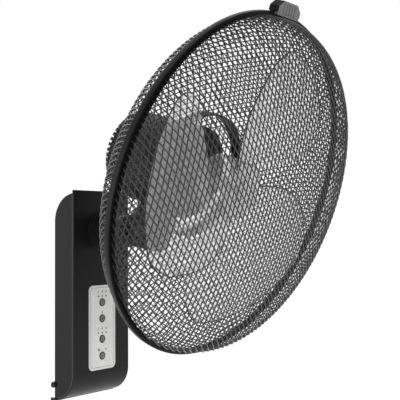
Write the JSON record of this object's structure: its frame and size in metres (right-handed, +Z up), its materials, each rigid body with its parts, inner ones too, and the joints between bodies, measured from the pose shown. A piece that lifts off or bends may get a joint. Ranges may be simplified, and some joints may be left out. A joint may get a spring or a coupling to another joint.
{
  "type": "wall mounted fan",
  "caption": "Swinging wall fan: slim wall box with button panel, tube neck, tilting knuckle, motor housing, smoked three-blade rotor and dished wire guard in a clipped ring.",
  "frame": {"origin": "middle of the wall plate's back face: the wall is Y = 0, X = 0 is the plane of symmetry and Z = 0 is midway between the two rows of screw holes", "axes": "+Z up, -Y out of the wall into the room, +X to the right of someone who faces the fan"},
  "size_m": [0.43, 0.364, 0.497],
  "materials": {
    "dark_grey_plastic": "satin, fine texture",
    "black_plastic": "satin",
    "silver_panel": "printed silver, satin",
    "button_grey": "satin",
    "smoked_plastic": "translucent smoked",
    "window_plastic": "clear tinted",
    "black_wire": "powder coated",
    "black_steel": "powder coated",
    "galvanised_steel": "zinc plated",
    "core_steel": "laminated",
    "copper": "enamelled wire",
    "bronze": "sintered",
    "board": "circuit board",
    "component_black": "moulded",
    "component_blue": "moulded",
    "gear_plastic": "moulded acetal",
    "grey_plastic": "satin"
  },
  "bodies": {
    "wall_unit": {"wall_plate": "black_steel", "rear_shell": "dark_grey_plastic", "front_cover": "dark_grey_plastic", "cover_screws": "galvanised_steel", "control_panel": "silver_panel", "button_switches": "component_black", "panel_windows": "window_plastic", "indicator_lamps": "component_blue", "control_board": "board", "control_board_screws": "galvanised_steel", "power_board": "board", "power_transformer": "core_steel", "run_capacitor": "component_black", "speed_relays": "component_blue", "terminal_block": "component_black", "cable_gland": "black_plastic", "gland_nut": "black_plastic", "neck_bracket": "galvanised_steel", "neck_tube": "dark_grey_plastic", "neck_bolts": "galvanised_steel", "neck_collar": "black_plastic"},
    "power_key": {"power_button": "button_grey"},
    "speed_key": {"speed_button": "button_grey"},
    "timer_key": {"timer_button": "button_grey"},
    "swing_key": {"swing_button": "button_grey"},
    "tilt_head": {"tilt_knuckle": "dark_grey_plastic", "tilt_bolt": "black_steel", "tilt_nut": "black_steel", "tilt_washers": "galvanised_steel", "pan_post": "galvanised_steel", "post_nut": "galvanised_steel", "swing_sector": "gear_plastic"},
    "fan_head": {"pan_bush": "bronze", "gear_case": "dark_grey_plastic", "swing_motor": "galvanised_steel", "swing_motor_screws": "galvanised_steel", "motor_front_shell": "dark_grey_plastic", "motor_rear_housing": "dark_grey_plastic", "motor_rear_bracket": "galvanised_steel", "stator_core": "core_steel", "stator_windings": "copper", "motor_bolts": "galvanised_steel", "housing_screws": "galvanised_steel", "front_bearing": "bronze", "rear_bearing": "bronze", "rear_grille": "black_wire", "front_grille": "black_wire", "guard_ring": "black_plastic", "grille_nut": "black_plastic", "clip_pin": "galvanised_steel"},
    "pinion": {"swing_pinion": "gear_plastic"},
    "latch": {"ring_clip": "grey_plastic"},
    "rotor": {"motor_shaft": "galvanised_steel", "rotor_core": "core_steel", "fan_blades": "smoked_plastic", "drive_pin": "galvanised_steel", "spinner_nut": "smoked_plastic"}
  },
  "joints": [
    {"name": "power_press", "type": "slide", "parent": "wall_unit", "child": "power_key", "axis": [0, 1, 0], "range_m": [0, 0.0008], "stiffness_N_per_m": 1500},
    {"name": "speed_press", "type": "slide", "parent": "wall_unit", "child": "speed_key", "axis": [0, 1, 0], "range_m": [0, 0.0008], "stiffness_N_per_m": 1500},
    {"name": "timer_press", "type": "slide", "parent": "wall_unit", "child": "timer_key", "axis": [0, 1, 0], "range_m": [0, 0.0008], "stiffness_N_per_m": 1500},
    {"name": "swing_press", "type": "slide", "parent": "wall_unit", "child": "swing_key", "axis": [0, 1, 0], "range_m": [0, 0.0008], "stiffness_N_per_m": 1500},
    {"name": "head_tilt", "type": "hinge", "parent": "wall_unit", "child": "tilt_head", "pos_m": [0, -0.131, 0.084], "axis": [1, 0, 0], "range_deg": [-18.5, 6.5]},
    {"name": "head_swing", "type": "hinge", "parent": "tilt_head", "child": "fan_head", "pos_m": [0, -0.131, 0.084], "axis": [0, -0.3173, 0.9483], "range_deg": [-40, 40]},
    {"name": "pinion_spin", "type": "hinge", "parent": "fan_head", "child": "pinion", "pos_m": [0, -0.11493, 0.13683], "axis": [0, -0.3173, 0.9483], "range_deg": [-120, 120]},
    {"name": "blade_spin", "type": "hinge", "parent": "fan_head", "child": "rotor", "pos_m": [0, -0.27209, 0.1338], "axis": [0, -0.9483, -0.3173], "continuous": true},
    {"name": "clip_latch", "type": "hinge", "parent": "fan_head", "child": "latch", "pos_m": [0, -0.33061, 0.34463], "axis": [-1, 0, 0], "range_deg": [0, 60]}
  ],
  "couplings": [
    {"joint": "pinion_spin", "follows": "head_swing", "ratio": 3}
  ]
}
